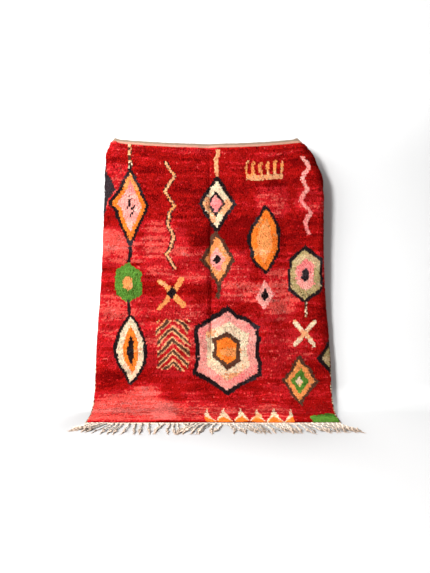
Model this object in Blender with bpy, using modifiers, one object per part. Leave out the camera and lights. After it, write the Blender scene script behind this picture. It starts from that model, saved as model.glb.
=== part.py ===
"""Berber rug: a thick hand-knotted wool cloth, hung by its top edge, with its lower end on the floor.

The cloth has flat coordinates of its own: u runs across it from the middle, and s runs down it from
the top edge. drape() carries (u, s) to the hanging shape, and every piece is laid out along it.
All sizes are in metres. The rug faces -Y, and the floor is at z = 0.
"""

import math

import bmesh
import bpy
import numpy as np

# The cloth as it was woven
RUG_WIDTH = 1.55
RUG_LENGTH = 1.975
BAND_HEIGHT = 0.022
PILE_THICKNESS = 0.015
BAND_THICKNESS = 0.006
PIECE_GAP = 0.0003
BAND_GAP = 0.0010

# How it hangs: a straight lean, a bend above the floor, then a flat run on the floor
TOP_HEIGHT = 1.763
LEAN = math.radians(5.0)
BEND_RADIUS = 0.20

# The top edge sags between its two hang points, and the sag has faded this far down the cloth
SAG = 0.030
SAG_FADE = 1.40
SAG_POWER = 2.2

# Each upper corner droops from its hang point and folds back about a straight line in the cloth.
# flap: cloth beyond the hang point; slant: of the fold line, degrees; tight: bend radius at the top;
# growth: of that radius along the fold; wide: its most; turn: the most the cloth turns, degrees
FOLD_COLUMNS = ("flap", "slant", "tight", "growth", "wide", "turn")
FOLD_ROWS = {
    +1: (0.231, 24.0, 0.010, 0.36, 0.058, 150.0),
    -1: (0.137, 3.7, 0.012, 0.46, 0.054, 135.0),
}

# The side edges curl back too. width: of the curled strip; radius: of the curl; from, to: where
# down the cloth the curl fades out
CURL_COLUMNS = ("width", "radius", "from", "to")
CURL_ROWS = {
    +1: (0.091, 0.035, 0.550, 1.850),
    -1: (0.095, 0.042, 0.475, 1.760),
}
CURL_STARTS = (0.05, 0.30)

# Soft folds that run down the cloth. place: across it at the top; drift: sideways for each metre
# down; half_width; rise: towards the front, negative for a valley; from, to: where they fade
WAVE_COLUMNS = ("place", "drift", "half_width", "rise", "from", "to")
WAVE_ROWS = (
    (-0.050, 0.018, 0.060, -0.016, 0.00, 1.75),
    (-0.470, 0.015, 0.110, 0.010, 0.10, 1.60),
    (-0.240, 0.010, 0.130, 0.009, 0.20, 1.60),
    (0.150, 0.000, 0.120, 0.008, 0.05, 1.50),
    (0.345, 0.020, 0.090, 0.013, 0.15, 1.40),
    (0.470, 0.010, 0.060, -0.011, 0.10, 1.60),
)
WAVE_FADE = 0.30
# Cloth that has folded back by this depth has no waves
CALM_DEPTH = 0.020

# The knotted fringe: strands with fused roots, level on the floor
STRANDS = 72
STRAND_SEED = 17
STRAND_WIDTH = 0.0105
STRAND_TOP_WIDTH = 0.0072
STRAND_HEIGHT = 0.0078
ROOT_DEPTH = 0.020
ROOT_HEIGHT = 0.0070
ROOT_CLEARANCE = 0.0005
ROOT_OVERLAP = 0.012
STRAND_JITTER = math.radians(7.0)
STRAND_LENGTH_SPREAD = 0.010
BOW_REACH = 0.014
HOOK_REACH = 0.026
WELD_DISTANCE = 1e-5

# How the strands spread along the cloth's end. place: from -1 at its left corner to 1 at its right
# corner; heading: degrees to the right of straight ahead; length: metres; crowd: how close the
# strands stand, as a share of even spacing
SPREAD_COLUMNS = ("place", "heading", "length", "crowd")
SPREAD_ROWS = (
    (-1.00, -30.0, 0.135, 1.5),
    (-0.93, -42.0, 0.142, 1.6),
    (-0.84, -38.0, 0.162, 1.5),
    (-0.77, -12.0, 0.165, 0.8),
    (-0.66, -8.0, 0.160, 0.6),
    (-0.55, 6.0, 0.158, 0.6),
    (-0.45, 4.0, 0.155, 0.4),
    (-0.38, -14.0, 0.155, 0.6),
    (-0.32, 6.0, 0.160, 0.9),
    (-0.24, 8.0, 0.160, 1.0),
    (-0.17, -24.0, 0.165, 1.4),
    (-0.08, -30.0, 0.168, 1.6),
    (0.00, -26.0, 0.165, 1.2),
    (0.06, -10.0, 0.150, 0.7),
    (0.10, 24.0, 0.160, 0.9),
    (0.20, 32.0, 0.165, 1.1),
    (0.30, 22.0, 0.160, 1.0),
    (0.40, 34.0, 0.165, 1.3),
    (0.50, 36.0, 0.168, 1.4),
    (0.58, 10.0, 0.150, 0.5),
    (0.66, 14.0, 0.155, 0.8),
    (0.74, 36.0, 0.168, 1.3),
    (0.86, 43.0, 0.175, 1.6),
    (1.00, 42.0, 0.182, 1.6),
)

# Along a strand: share of its length, and thickness there as a share of the full one
STRAND_COLUMNS = ("share", "thickness")
STRAND_ROWS = (
    (0.00, 1.00),
    (0.16, 1.00),
    (0.32, 0.97),
    (0.48, 0.94),
    (0.62, 0.90),
    (0.74, 1.00),
    (0.82, 1.50),
    (0.90, 1.05),
    (1.00, 0.70),
)

# The least turn of a curl, radians, so that a flat edge needs no case of its own
LEAST_TURN = 1e-6

# Grid lines across and down the cloth. They stand closer at the side edges, where it curls, and
# towards the top, where its corners fold
COLUMNS = 44
ROWS = 52
EDGE_CROWDING = 1.15
TOP_CROWDING = 0.40

# Colour, linear, and roughness of each piece
FINISHES = {
    "rug": ((0.52, 0.010, 0.020, 1.0), 0.95),
    "heading_band": ((0.80, 0.58, 0.40, 1.0), 0.90),
    "bottom_fringe": ((0.78, 0.70, 0.58, 1.0), 0.90),
}


def row_of(columns, values):
    return dict(zip(columns, values))


def smooth(value, start, end):
    """0 before start, 1 after end, and an S curve between."""
    share = np.clip((value - start) / (end - start), 0.0, 1.0)
    return share * share * (3.0 - 2.0 * share)


# Where the bend above the floor starts and ends, down the cloth
BEND_TURN = math.pi / 2 - LEAN
BEND_START = (TOP_HEIGHT - BEND_RADIUS * (1 - math.sin(LEAN))) / math.cos(LEAN)
BEND_END = BEND_START + BEND_RADIUS * BEND_TURN


def hanging_line(down):
    """Depth and height of the cloth's back at a distance down it, and its backward normal."""
    angle = LEAN + np.clip((down - BEND_START) / BEND_RADIUS, 0.0, BEND_TURN)
    straight = np.minimum(down, BEND_START)
    run = np.maximum(down - BEND_END, 0.0)
    y = -straight * math.sin(LEAN) - BEND_RADIUS * (math.cos(LEAN) - np.cos(angle)) - run
    z = TOP_HEIGHT - straight * math.cos(LEAN) - BEND_RADIUS * (np.sin(angle) - math.sin(LEAN))
    z = np.where(down >= BEND_END, 0.0, z)
    return y, z, np.cos(angle), -np.sin(angle)


def bend_round(distance, radius, most):
    """Reach and depth of cloth that bends about a line, turns by most at the most, then runs straight."""
    past = np.maximum(distance, 0.0)
    angle = np.minimum(past / radius, most)
    rest = np.maximum(past - radius * most, 0.0)
    reach = radius * np.sin(angle) + rest * math.cos(most)
    depth = radius * (1 - np.cos(angle)) + rest * math.sin(most)
    return reach, depth, angle


def hang_point(side):
    """How far from the middle the top edge is held, on one side."""
    return RUG_WIDTH / 2 - row_of(FOLD_COLUMNS, FOLD_ROWS[side])["flap"]


def side_of_cloth(u, s, side):
    """One half's place across and down the hanging cloth, and its depth behind it."""
    fold = row_of(FOLD_COLUMNS, FOLD_ROWS[side])
    curl = row_of(CURL_COLUMNS, CURL_ROWS[side])
    across = side * u

    curled = smooth(s, *CURL_STARTS) * (1 - smooth(s, curl["from"], curl["to"]))
    flat_part = RUG_WIDTH / 2 - curl["width"]
    past = np.maximum(across - flat_part, 0.0)
    angle = np.maximum(past / curl["radius"] * curled, LEAST_TURN)
    curl_depth = past * (1 - np.cos(angle)) / angle
    across = np.where(past > 0, flat_part + past * np.sin(angle) / angle, across)

    held = hang_point(side)
    slant = math.radians(fold["slant"])
    beyond = (across - held) * math.cos(slant) - s * math.sin(slant)
    along = (across - held) * math.sin(slant) + s * math.cos(slant)
    radius = np.minimum(fold["tight"] + fold["growth"] * np.maximum(along, 0.0), fold["wide"])
    reach, fold_depth, turned = bend_round(beyond, radius, math.radians(fold["turn"]))
    reach = np.where(beyond > 0, reach, beyond)
    x = side * (held + along * math.sin(slant) + reach * math.cos(slant))
    down = along * math.cos(slant) - reach * math.sin(slant)
    return x, down, fold_depth + curl_depth * np.cos(turned)


def wave_rise(x, down):
    """How far the soft folds stand in front of the plain hanging line."""
    rise = np.zeros_like(x)
    for values in WAVE_ROWS:
        wave = row_of(WAVE_COLUMNS, values)
        offset = (x - wave["place"] - wave["drift"] * down) / wave["half_width"]
        lengthways = smooth(down, wave["from"] - WAVE_FADE, wave["from"] + WAVE_FADE)
        lengthways = lengthways * (1 - smooth(down, wave["to"] - WAVE_FADE, wave["to"]))
        rise += wave["rise"] * np.exp(-offset * offset) * lengthways
    return rise


def drape(u, s):
    """The hanging place of each cloth point (u, s), as an array of x, y, z on the cloth's back."""
    halves = zip(side_of_cloth(u, s, +1), side_of_cloth(u, s, -1))
    x, down, behind = (np.where(u > 0, right, left) for right, left in halves)
    share = np.clip(np.abs(x) / np.where(x > 0, hang_point(+1), hang_point(-1)), 0.0, 1.0)
    down = down + SAG * (1 - share**SAG_POWER) * (1 - smooth(down, 0.0, SAG_FADE))
    y, z, normal_y, normal_z = hanging_line(down)
    behind = behind - wave_rise(x, down) * (1 - smooth(behind, 0.0, CALM_DEPTH))
    behind = behind * (1 - smooth(down, BEND_START, BEND_END))
    return np.stack([x, y + behind * normal_y, z + behind * normal_z], axis=-1)


def material(name):
    colour, roughness = FINISHES[name]
    made = bpy.data.materials.new(name)
    made.use_nodes = True
    shader = made.node_tree.nodes["Principled BSDF"]
    shader.inputs["Base Color"].default_value = colour
    shader.inputs["Roughness"].default_value = roughness
    made.diffuse_color = colour
    return made


def link(obj, collection):
    collection.objects.link(obj)
    obj.data.materials.append(material(obj.name))
    return obj


def cloth_piece(name, top, bottom, rows, thickness, collection):
    """A grid between two distances down the cloth, draped, then thickened towards the front."""
    bm = bmesh.new()
    bmesh.ops.create_grid(bm, x_segments=COLUMNS, y_segments=rows, size=1.0)
    flat = np.array([vert.co for vert in bm.verts])
    u = RUG_WIDTH / 2 * np.sin(EDGE_CROWDING * flat[:, 0]) / math.sin(EDGE_CROWDING)
    share = (1 - flat[:, 1]) / 2
    s = top + (bottom - top) * share * (1 - TOP_CROWDING * (1 - share))
    for vert, place in zip(bm.verts, drape(u, s)):
        vert.co = place
    bm.normal_update()
    mesh = bpy.data.meshes.new(name)
    bm.to_mesh(mesh)
    bm.free()
    mesh.shade_smooth()
    obj = link(bpy.data.objects.new(name, mesh), collection)
    solidify = obj.modifiers.new("thickness", "SOLIDIFY")
    solidify.thickness = thickness
    solidify.offset = 1.0
    return obj


def strand_paths(root_y):
    """Points of every strand along the floor, one row a strand, from inside the root strip outwards."""
    draw = np.random.default_rng(STRAND_SEED)
    share = row_of(STRAND_COLUMNS, np.array(STRAND_ROWS).T)["share"]
    spread = row_of(SPREAD_COLUMNS, np.array(SPREAD_ROWS).T)
    crowd = (spread["crowd"][1:] + spread["crowd"][:-1]) / 2 * np.diff(spread["place"])
    passed = np.concatenate([[0.0], np.cumsum(crowd)])
    order = (np.arange(STRANDS) + 0.5) / STRANDS
    place = np.interp(order * passed[-1], passed, spread["place"])
    heading = np.radians(np.interp(place, spread["place"], spread["heading"]))
    heading += draw.uniform(-STRAND_JITTER, STRAND_JITTER, STRANDS) * (1 - place ** 2)
    length = np.interp(place, spread["place"], spread["length"]) + ROOT_OVERLAP
    length += draw.uniform(-STRAND_LENGTH_SPREAD, 0.0, STRANDS)
    bow = draw.uniform(-BOW_REACH, BOW_REACH, STRANDS)
    hook = draw.uniform(-HOOK_REACH, HOOK_REACH, STRANDS) * (1 - place ** 2)
    ahead = length[:, None] * share
    aside = bow[:, None] * np.sin(math.pi * share) * (1 - share) + hook[:, None] * share ** 3
    x = place[:, None] * (RUG_WIDTH / 2 - STRAND_WIDTH) + ahead * np.sin(heading)[:, None]
    x += aside * np.cos(heading)[:, None]
    y = root_y - ahead * np.cos(heading)[:, None] + aside * np.sin(heading)[:, None]
    return np.stack([x, y, np.zeros_like(x)], axis=-1)


def strand_section():
    """A four-sided section, wider at its foot, with the origin at the middle of its foot."""
    curve = bpy.data.curves.new("strand_section", "CURVE")
    curve.dimensions = "2D"
    spline = curve.splines.new("POLY")
    foot, top = STRAND_WIDTH / 2, STRAND_TOP_WIDTH / 2
    corners = ((-foot, 0.0), (foot, 0.0), (top, STRAND_HEIGHT), (-top, STRAND_HEIGHT))
    spline.points.add(len(corners) - 1)
    for point, (x, y) in zip(spline.points, corners):
        point.co = (x, y, 0.0, 1.0)
    spline.use_cyclic_u = True
    section = bpy.data.objects.new("strand_section", curve)
    section.hide_render = True
    section.display_type = "WIRE"
    return section


def strand_bundle(section, root_y, collection):
    """All strands as one mesh of separate closed bodies."""
    curve = bpy.data.curves.new("strands", "CURVE")
    curve.dimensions = "3D"
    curve.twist_mode = "Z_UP"
    curve.bevel_mode = "OBJECT"
    curve.bevel_object = section
    curve.use_fill_caps = True
    thickness = row_of(STRAND_COLUMNS, np.array(STRAND_ROWS).T)["thickness"]
    for path in strand_paths(root_y):
        spline = curve.splines.new("POLY")
        spline.points.add(len(path) - 1)
        for point, place, share in zip(spline.points, path, thickness):
            point.co = (*place, 1.0)
            point.radius = share
    guide = bpy.data.objects.new("strand_guide", curve)
    collection.objects.link(guide)
    bpy.context.view_layer.update()
    graph = bpy.context.evaluated_depsgraph_get()
    mesh = bpy.data.meshes.new_from_object(guide.evaluated_get(graph))
    bpy.data.objects.remove(guide)
    bm = bmesh.new()
    bm.from_mesh(mesh)
    bmesh.ops.remove_doubles(bm, verts=bm.verts, dist=WELD_DISTANCE)
    bmesh.ops.recalc_face_normals(bm, faces=bm.faces)
    bm.to_mesh(mesh)
    bm.free()
    bundle = bpy.data.objects.new("strands", mesh)
    bundle.hide_render = True
    bundle.display_type = "WIRE"
    collection.objects.link(bundle)
    return bundle


def fringe(end_y, collection, cutters):
    """The root strip just ahead of the cloth's end, with the strands joined to it."""
    bm = bmesh.new()
    bmesh.ops.create_cube(bm, size=1.0)
    bmesh.ops.scale(bm, vec=(RUG_WIDTH, ROOT_DEPTH, ROOT_HEIGHT), verts=bm.verts)
    middle_y = end_y - PIECE_GAP - ROOT_DEPTH / 2
    bmesh.ops.translate(bm, vec=(0, middle_y, ROOT_CLEARANCE + ROOT_HEIGHT / 2), verts=bm.verts)
    mesh = bpy.data.meshes.new("bottom_fringe")
    bm.to_mesh(mesh)
    bm.free()
    obj = link(bpy.data.objects.new("bottom_fringe", mesh), collection)
    section = strand_section()
    cutters.objects.link(section)
    root_y = end_y - PIECE_GAP - ROOT_DEPTH + ROOT_OVERLAP
    strands = strand_bundle(section, root_y, cutters)
    strands.parent = obj
    join = obj.modifiers.new("strands", "BOOLEAN")
    join.operation = "UNION"
    join.solver = "EXACT"
    join.use_self = True
    join.object = strands
    return obj


def centre_on_floor(pieces):
    """Moves the pieces together, so that the middle of their footprint is at x = 0, y = 0."""
    bpy.context.view_layer.update()
    graph = bpy.context.evaluated_depsgraph_get()
    corners = []
    for piece in pieces:
        evaluated = piece.evaluated_get(graph)
        mesh = evaluated.to_mesh()
        points = np.array([vert.co for vert in mesh.vertices])
        corners += [points.min(axis=0), points.max(axis=0)]
        evaluated.to_mesh_clear()
    middle = (np.min(corners, axis=0) + np.max(corners, axis=0)) / 2
    frame = bpy.data.objects.new("footprint_middle", None)
    frame.location = (-middle[0], -middle[1], 0.0)
    pieces[0].users_collection[0].objects.link(frame)
    for piece in pieces:
        piece.parent = frame


def build():
    for obj in list(bpy.data.objects):
        bpy.data.objects.remove(obj)
    rug_parts = bpy.data.collections.new("berber_rug")
    cutters = bpy.data.collections.new("cutters")
    bpy.context.scene.collection.children.link(rug_parts)
    bpy.context.scene.collection.children.link(cutters)
    end_y = float(hanging_line(np.array(RUG_LENGTH))[0])
    rug = cloth_piece("rug", BAND_HEIGHT, RUG_LENGTH, ROWS, PILE_THICKNESS, rug_parts)
    band = cloth_piece("heading_band", 0.0, BAND_HEIGHT - BAND_GAP, 1, BAND_THICKNESS, rug_parts)
    bottom = fringe(end_y, rug_parts, cutters)
    centre_on_floor([rug, band, bottom])


build()
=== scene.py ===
import math

import bpy
import numpy as np
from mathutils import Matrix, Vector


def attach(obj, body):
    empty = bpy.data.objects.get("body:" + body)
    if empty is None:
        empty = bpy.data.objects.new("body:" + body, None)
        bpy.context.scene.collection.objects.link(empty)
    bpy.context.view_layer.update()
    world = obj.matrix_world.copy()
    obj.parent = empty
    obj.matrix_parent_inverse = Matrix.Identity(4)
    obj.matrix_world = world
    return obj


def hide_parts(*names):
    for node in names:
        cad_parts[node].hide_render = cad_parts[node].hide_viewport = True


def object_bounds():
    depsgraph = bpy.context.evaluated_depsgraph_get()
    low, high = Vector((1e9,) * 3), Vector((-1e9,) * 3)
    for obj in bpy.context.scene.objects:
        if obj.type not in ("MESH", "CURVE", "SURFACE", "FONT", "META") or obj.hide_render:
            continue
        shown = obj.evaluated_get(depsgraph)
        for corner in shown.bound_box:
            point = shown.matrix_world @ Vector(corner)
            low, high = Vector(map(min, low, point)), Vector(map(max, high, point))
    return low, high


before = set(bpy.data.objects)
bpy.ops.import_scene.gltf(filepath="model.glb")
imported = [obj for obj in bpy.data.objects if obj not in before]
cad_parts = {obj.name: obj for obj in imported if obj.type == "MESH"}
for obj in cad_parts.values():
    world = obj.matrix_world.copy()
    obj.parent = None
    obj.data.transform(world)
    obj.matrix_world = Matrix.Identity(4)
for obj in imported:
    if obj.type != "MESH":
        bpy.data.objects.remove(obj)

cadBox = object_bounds()
print("frame loaded")

# The cloth as its solid was made: flat sizes, then how it hangs, leans and bends to the floor
cloth = {
    "width": 1.55,
    "length": 1.975,
    "bandHeight": 0.022,
    "topHeight": 1.763,
    "lean": math.radians(5.0),
    "bendRadius": 0.20,
    "sag": 0.030,
    "sagFade": 1.40,
    "sagPower": 2.2,
    "curlStarts": (0.05, 0.30),
    "waveFade": 0.30,
    "calmDepth": 0.020,
}
# Upper corners that fold back, and side edges that curl back. Slant and turn in degrees
corners = {
    1: {"flap": 0.231, "slant": 24.0, "tight": 0.010, "growth": 0.36, "wide": 0.058, "turn": 150.0,
        "curlWidth": 0.091, "curlRadius": 0.035, "curlFrom": 0.550, "curlTo": 1.850},
    -1: {"flap": 0.137, "slant": 3.7, "tight": 0.012, "growth": 0.46, "wide": 0.054, "turn": 135.0,
         "curlWidth": 0.095, "curlRadius": 0.042, "curlFrom": 0.475, "curlTo": 1.760},
}
# Soft folds: place across at the top, sideways drift a metre, half width, rise, from, to
waves = (
    (-0.050, 0.018, 0.060, -0.016, 0.00, 1.75),
    (-0.470, 0.015, 0.110, 0.010, 0.10, 1.60),
    (-0.240, 0.010, 0.130, 0.009, 0.20, 1.60),
    (0.150, 0.000, 0.120, 0.008, 0.05, 1.50),
    (0.345, 0.020, 0.090, 0.013, 0.15, 1.40),
    (0.470, 0.010, 0.060, -0.011, 0.10, 1.60),
    (-0.026, 0.010, 0.018, -0.024, 0.22, 1.50),  # a narrow crease, which the solid leaves out
)

bendTurn = math.pi / 2 - cloth["lean"]
bendStart = cloth["topHeight"] - cloth["bendRadius"] * (1 - math.sin(cloth["lean"]))
bendStart = bendStart / math.cos(cloth["lean"])
bendEnd = bendStart + cloth["bendRadius"] * bendTurn


def ease(value, start, end):
    # 0 before start, 1 after end, an S curve between
    share = np.clip((value - start) / (end - start), 0.0, 1.0)
    return share * share * (3.0 - 2.0 * share)


def hangingLine(down):
    # a straight lean, then an arc of bendRadius that turns level, then a flat run on the floor
    lean, radius = cloth["lean"], cloth["bendRadius"]
    angle = lean + np.clip((down - bendStart) / radius, 0.0, bendTurn)
    straight = np.minimum(down, bendStart)
    y = -straight * math.sin(lean) - radius * (math.cos(lean) - np.cos(angle))
    y = y - np.maximum(down - bendEnd, 0.0)
    z = cloth["topHeight"] - straight * math.cos(lean) - radius * (np.sin(angle) - math.sin(lean))
    return y, np.where(down >= bendEnd, 0.0, z), np.cos(angle), -np.sin(angle)


def sideOfCloth(u, s, side):
    # curl: an arc past the curl line; fold: an arc past the slanted line, then straight
    c = corners[side]
    across = side * u
    curled = ease(s, *cloth["curlStarts"]) * (1 - ease(s, c["curlFrom"], c["curlTo"]))
    flatPart = cloth["width"] / 2 - c["curlWidth"]
    past = np.maximum(across - flatPart, 0.0)
    angle = np.maximum(past / c["curlRadius"] * curled, 1e-6)
    curlDepth = past * (1 - np.cos(angle)) / angle
    across = np.where(past > 0, flatPart + past * np.sin(angle) / angle, across)

    held = cloth["width"] / 2 - c["flap"]
    slant, most = math.radians(c["slant"]), math.radians(c["turn"])
    beyond = (across - held) * math.cos(slant) - s * math.sin(slant)
    along = (across - held) * math.sin(slant) + s * math.cos(slant)
    radius = np.minimum(c["tight"] + c["growth"] * np.maximum(along, 0.0), c["wide"])
    turned = np.minimum(np.maximum(beyond, 0.0) / radius, most)
    rest = np.maximum(beyond - radius * most, 0.0)
    reach = np.where(beyond > 0, radius * np.sin(turned) + rest * math.cos(most), beyond)
    foldDepth = radius * (1 - np.cos(turned)) + rest * math.sin(most)
    x = side * (held + along * math.sin(slant) + reach * math.cos(slant))
    down = along * math.cos(slant) - reach * math.sin(slant)
    return x, down, foldDepth + curlDepth * np.cos(turned)


def drape(u, s):
    # the place of the cloth's back at u across and s down: the sides' curls and folds, a sag
    # that fades downwards, bell-shaped folds across, and all of it lifted off the hanging line
    halves = zip(sideOfCloth(u, s, 1), sideOfCloth(u, s, -1))
    x, down, behind = (np.where(u > 0, right, left) for right, left in halves)
    held = [cloth["width"] / 2 - corners[side]["flap"] for side in (1, -1)]
    share = np.clip(np.abs(x) / np.where(x > 0, *held), 0.0, 1.0)
    sag = cloth["sag"] * (1 - share ** cloth["sagPower"])
    down = down + sag * (1 - ease(down, 0.0, cloth["sagFade"]))
    rise = np.zeros_like(x)
    fade = cloth["waveFade"]
    for place, drift, halfWidth, height, start, end in waves:
        offset = (x - place - drift * down) / halfWidth
        lengthways = ease(down, start - fade, start + fade) * (1 - ease(down, end - fade, end))
        rise = rise + height * np.exp(-offset * offset) * lengthways
    y, z, normalY, normalZ = hangingLine(down)
    behind = behind - rise * (1 - ease(behind, 0.0, cloth["calmDepth"]))
    behind = behind * (1 - ease(down, bendStart, bendEnd))
    return np.stack([x, y + behind * normalY, z + behind * normalZ], axis=-1)


# The solid's foremost points are the cloth's end face, which places the whole drape
solidRug = bpy.data.objects["rug"].data
solidPoints = np.empty(len(solidRug.vertices) * 3, np.float32)
solidRug.vertices.foreach_get("co", solidPoints)
solidPoints = solidPoints.reshape(-1, 3)
endY = solidPoints[:, 1].min()
endFace = solidPoints[solidPoints[:, 1] < endY + 1e-4]
clothEndY = float(hangingLine(np.array(cloth["length"]))[0])
place = np.array([(endFace[:, 0].min() + endFace[:, 0].max()) / 2, endY - clothEndY, 0.0])


def onCloth(u, s, height):
    # drape(u, s) lifted off the back by height, along the cross product of its two tangents
    u, s, height = np.broadcast_arrays(*(np.asarray(v, float) for v in (u, s, height)))
    step = 0.001
    here = drape(u, s)
    across = drape(u + step, s) - drape(u - step, s)
    down = drape(u, s + step) - drape(u, s - step)
    normal = np.cross(down, across)
    normal /= np.linalg.norm(normal, axis=-1, keepdims=True)
    return here + normal * height[..., None] + place


latticeSize = 64  # cells after which a soft noise repeats


def softNoise(x, y, cellX, cellY, seed):
    # random numbers on a lattice, from -1 to 1, blended by S curves between its points
    lattice = np.random.default_rng(seed).uniform(-1, 1, (latticeSize, latticeSize))
    gridX, gridY = np.asarray(x) / cellX, np.asarray(y) / cellY
    lowX, lowY = np.floor(gridX).astype(int), np.floor(gridY).astype(int)
    shareX, shareY = ease(gridX - lowX, 0, 1), ease(gridY - lowY, 0, 1)

    def at(i, j):
        return lattice[i % latticeSize, j % latticeSize]

    low = at(lowX, lowY) * (1 - shareX) + at(lowX + 1, lowY) * shareX
    high = at(lowX, lowY + 1) * (1 - shareX) + at(lowX + 1, lowY + 1) * shareX
    return low * (1 - shareY) + high * shareY


def withNoise(value, x, y, rows, seed=0):
    # the value plus soft noises. Each row: rise, shift of x, cell across, cell down, seed
    for rise, shift, cellX, cellY, ownSeed in rows:
        value = value + rise * softNoise(x + shift, y, cellX, cellY, seed + ownSeed)
    return value


# Camera: a little above the rug's middle, tilted down a little
camera = {
    "distance": 3.20,  # ahead of the rug's end on the floor
    "height": 1.175,
    "across": 0.012,
    "tiltDown": 6.0,
    "lens": 34.1,
}
lensData = bpy.data.cameras.new("camera")
lensData.lens = camera["lens"]
cameraObject = bpy.data.objects.new("camera", lensData)
cameraObject.location = (place[0] + camera["across"], endY - camera["distance"], camera["height"])
cameraObject.rotation_euler = (math.radians(90 - camera["tiltDown"]), 0, 0)
bpy.context.scene.collection.objects.link(cameraObject)
bpy.context.scene.camera = cameraObject


# Yarn colours, sRGB from 0 to 255. The reds are dye lots, darkest first
yarns = {
    "wine": (130, 10, 10),
    "red": (163, 18, 16),
    "scarlet": (194, 32, 37),
    "coral": (220, 79, 71),
    "paleCoral": (219, 106, 98),
    "black": (38, 27, 28),
    "slate": (56, 46, 50),
    "brown": (92, 58, 44),
    "pink": (255, 164, 152),
    "rose": (250, 132, 130),
    "orange": (255, 128, 44),
    "amber": (242, 152, 86),
    "peach": (240, 170, 120),
    "cream": (240, 212, 178),
    "sand": (206, 176, 134),
    "olive": (180, 156, 106),
    "green": (92, 138, 52),
    "leaf": (64, 118, 40),
}
groundYarns = ("wine", "red", "scarlet", "coral", "paleCoral")
mixedYarns = {"pinkBlack": ("pink", "black"), "creamBrown": ("cream", "brown")}
# a figure's yarn gives way in places to one that was dyed alongside it
kinYarns = {"black": "slate", "pink": "rose", "orange": "amber", "amber": "peach",
            "cream": "peach", "olive": "sand", "green": "leaf", "sand": "olive", "peach": "amber"}
yarnNames = list(yarns)
kinOf = [yarnNames.index(kinYarns.get(name, name)) for name in yarnNames]


def linear(colour):
    # sRGB to linear: the standard curve
    share = np.asarray(colour, float) / 255
    return np.where(share < 0.04045, share / 12.92, ((share + 0.055) / 1.055) ** 2.4)


yarnColours = np.array([linear(yarns[name]) for name in yarnNames])
brightest = 0.95  # no yarn gives back more than this share of the light


# Figures of the design: kind, across, down, half width, half height, then (yarn, out to this
# share of the figure), outermost first
figures = (
    ("bar", -0.545, 0.095, 0.012, 0.080, (("creamBrown", 1.0),)),
    ("lozenge", -0.545, 0.420, 0.130, 0.270,
     (("black", 1.0), ("orange", 0.82), ("pink", 0.60), ("pinkBlack", 0.26))),
    ("bar", -0.545, 0.730, 0.011, 0.055, (("black", 1.0),)),
    ("hexagon", -0.545, 0.920, 0.085, 0.130, (("green", 1.0), ("amber", 0.36))),
    ("bar", -0.545, 1.090, 0.011, 0.055, (("black", 1.0),)),
    ("leaf", -0.545, 1.370, 0.110, 0.245,
     (("black", 1.0), ("cream", 0.80), ("orange", 0.46), ("black", 0.20))),
    ("zigzag", -0.275, 0.470, 0.040, 0.360, (("black", 1.0), ("peach", 0.54))),
    ("cross", -0.275, 0.990, 0.085, 0.100, (("amber", 1.0),)),
    ("lozenge", -0.275, 0.990, 0.032, 0.042, (("black", 1.0),)),
    ("chevrons", -0.265, 1.330, 0.105, 0.170, (("peach", 1.0), ("brown", 0.50))),
    ("bar", 0.030, 0.125, 0.012, 0.105, (("peach", 1.0),)),
    ("lozenge", 0.030, 0.400, 0.125, 0.200,
     (("black", 1.0), ("cream", 0.78), ("black", 0.44), ("pink", 0.30))),
    ("lozenge", 0.030, 0.770, 0.125, 0.200,
     (("brown", 1.0), ("amber", 0.78), ("pink", 0.46), ("black", 0.20))),
    ("bar", 0.030, 0.995, 0.012, 0.040, (("brown", 1.0),)),
    ("hexagon", 0.090, 1.370, 0.215, 0.285,
     (("black", 1.0), ("pink", 0.88), ("cream", 0.66), ("brown", 0.42), ("orange", 0.30))),
    ("comb", 0.340, 0.215, 0.120, 0.105, (("peach", 1.0),)),
    ("leaf", 0.340, 0.640, 0.105, 0.240, (("black", 1.0), ("orange", 0.78), ("amber", 0.42))),
    ("lozenge", 0.345, 1.015, 0.060, 0.095, (("pink", 1.0), ("black", 0.44))),
    ("zigzag", 0.610, 0.360, 0.036, 0.250, (("pink", 1.0),)),
    ("hexagon", 0.605, 0.870, 0.110, 0.180,
     (("black", 1.0), ("olive", 0.84), ("pink", 0.54), ("black", 0.22))),
    ("bar", 0.605, 1.105, 0.011, 0.050, (("creamBrown", 1.0),)),
    ("cross", 0.605, 1.260, 0.075, 0.085, (("cream", 1.0),)),
    ("lozenge", 0.570, 1.560, 0.130, 0.170,
     (("brown", 1.0), ("amber", 0.80), ("green", 0.50), ("cream", 0.20))),
    ("lozenge", -0.790, 0.330, 0.150, 0.300, (("slate", 1.0),)),
    ("lozenge", 0.785, 1.410, 0.100, 0.130, (("black", 1.0), ("olive", 0.66))),
    ("teeth", 0.230, 1.862, 0.270, 0.098, (("cream", 1.0), ("orange", 0.50))),
    ("hexagon", 0.715, 1.900, 0.120, 0.095, (("green", 1.0),)),
)


# The figures' outlines, in shares of their half width and half height
outlines = {
    "leafPower": 1.9,
    "hexagonSlopes": (0.45, 0.95),
    "zigzagTurns": 3.5,
    "zigzagSwing": 0.62,
    "zigzagHalf": 0.38,
    "crossHalf": 0.24,
    "chevronSlope": 0.6,
    "chevronsTall": 2.2,
    "chevronHalf": 0.30,
    "combTeeth": 2.5,
    "combToothHalf": 0.22,
    "combBackHalf": 0.16,
    "teethAcross": 2.5,
    "outside": 9.0,  # what a figure of lines gives beyond its halves
}


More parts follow.
